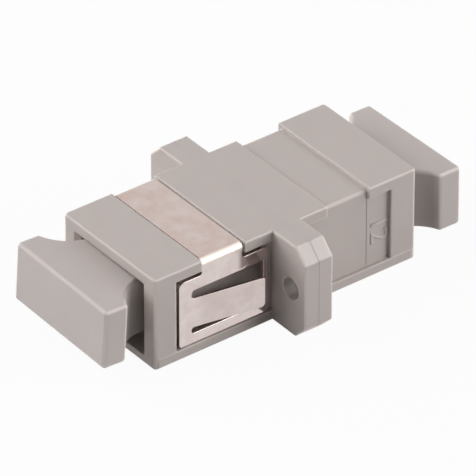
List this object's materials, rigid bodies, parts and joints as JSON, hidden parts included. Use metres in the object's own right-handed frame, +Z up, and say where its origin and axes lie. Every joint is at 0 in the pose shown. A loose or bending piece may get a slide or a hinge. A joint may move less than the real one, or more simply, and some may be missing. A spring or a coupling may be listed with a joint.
{
  "type": "sc fibre adapter",
  "caption": "Simplex flanged fibre-optic coupler: a square through-port with a screw flange, a spring clip for panel mounting, and a pull-off dust cap in each end.",
  "frame": {"origin": "middle of the alignment sleeve, on the fibre axis and on the welded joint between the two housing halves", "axes": "+X along the fibre axis to the rear port, -X to the front port that carries the spring clip; +Y along the flange; +Z up, away from the keyway side"},
  "size_m": [0.0387, 0.022, 0.0093],
  "materials": {
    "housing": "fine satin moulding, warm light grey",
    "holder": "plain moulding, warm light grey",
    "sleeve": "polished white zirconia ceramic",
    "clip": "bright rolled stainless spring strip",
    "cap": "fine satin moulding, warm light grey"
  },
  "bodies": {
    "adapter": {"front_housing": "housing", "rear_housing": "housing", "front_latch_holder": "holder", "rear_latch_holder": "holder", "alignment_sleeve": "sleeve", "panel_clip": "clip"},
    "front_cap": {"front_dust_cap": "cap"},
    "rear_cap": {"rear_dust_cap": "cap"}
  },
  "joints": [
    {"name": "front_cap_pull", "type": "slide", "parent": "adapter", "child": "front_cap", "axis": [-1, 0, 0], "range_m": [0, 0.03]},
    {"name": "rear_cap_pull", "type": "slide", "parent": "adapter", "child": "rear_cap", "axis": [1, 0, 0], "range_m": [0, 0.03]}
  ]
}
